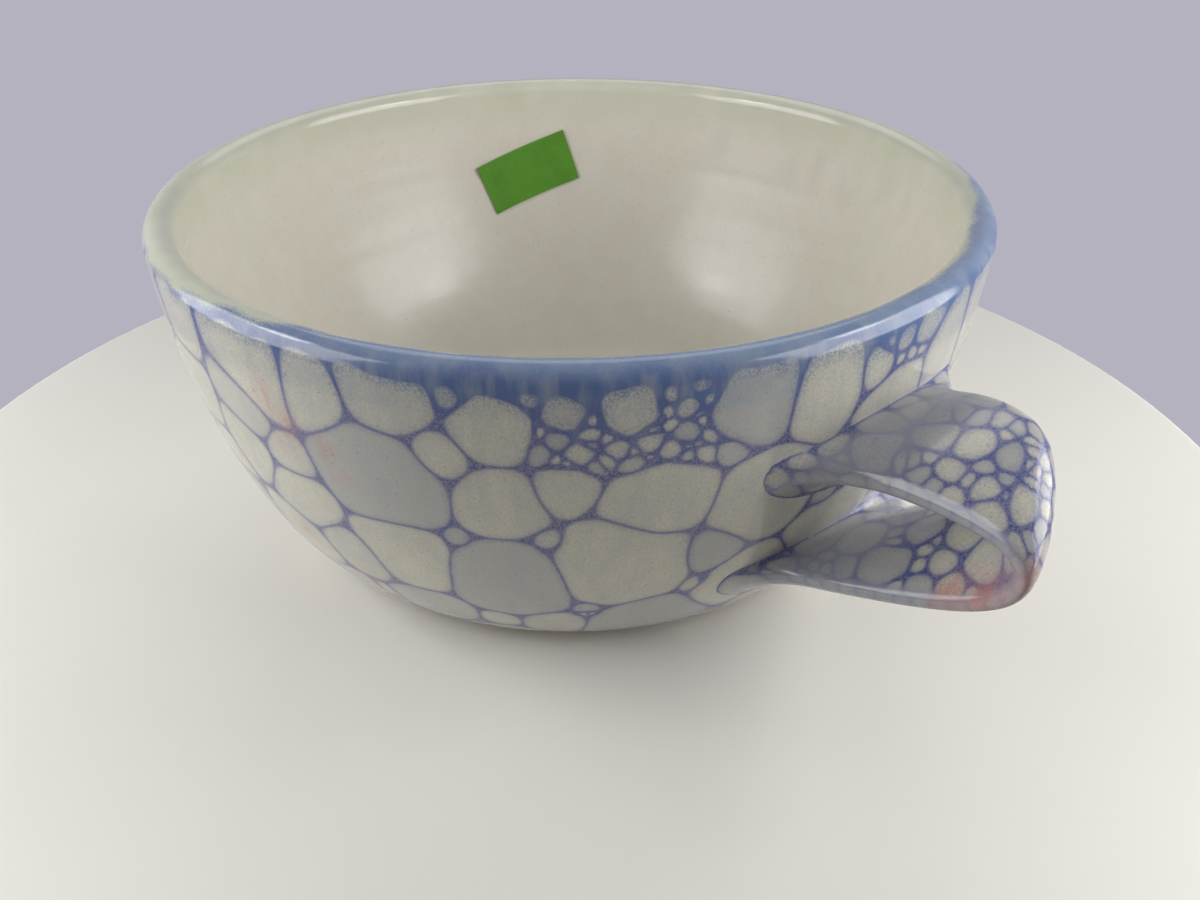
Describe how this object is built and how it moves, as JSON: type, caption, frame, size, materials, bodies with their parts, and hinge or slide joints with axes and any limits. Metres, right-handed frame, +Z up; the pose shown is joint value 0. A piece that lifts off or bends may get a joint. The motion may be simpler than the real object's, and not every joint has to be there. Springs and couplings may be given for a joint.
{
  "type": "bowl with handle",
  "caption": "Hand-thrown stoneware soup bowl with a rounded wall, turned foot, glazed inside and a pulled strap handle at one side for a finger and thumb.",
  "frame": {"origin": "centre of the flat foot, on the surface the bowl stands on", "axes": "+Z up along the bowl's axis of turning, +X out through the handle, +Y to the left of the handle seen from the bowl"},
  "size_m": [0.1932, 0.1602, 0.0697],
  "materials": {
    "stoneware": "bare fired clay, fine sandy surface",
    "slip": "fired joining slip, hidden in the joint",
    "liner_glaze": "glossy warm white",
    "rim_glaze": "glossy, grainy blue grey",
    "bubble_glaze": "glossy cream cells between blue bubble lines",
    "paper_label": "matte"
  },
  "bodies": {
    "root": {"bowl_body": "stoneware", "liner_glaze": "liner_glaze", "rim_glaze": "rim_glaze", "outer_glaze": "bubble_glaze", "paper_label": "paper_label", "handle_strap": "stoneware", "upper_joint_slip": "slip", "lower_joint_slip": "slip", "handle_glaze": "bubble_glaze"}
  },
  "joints": []
}
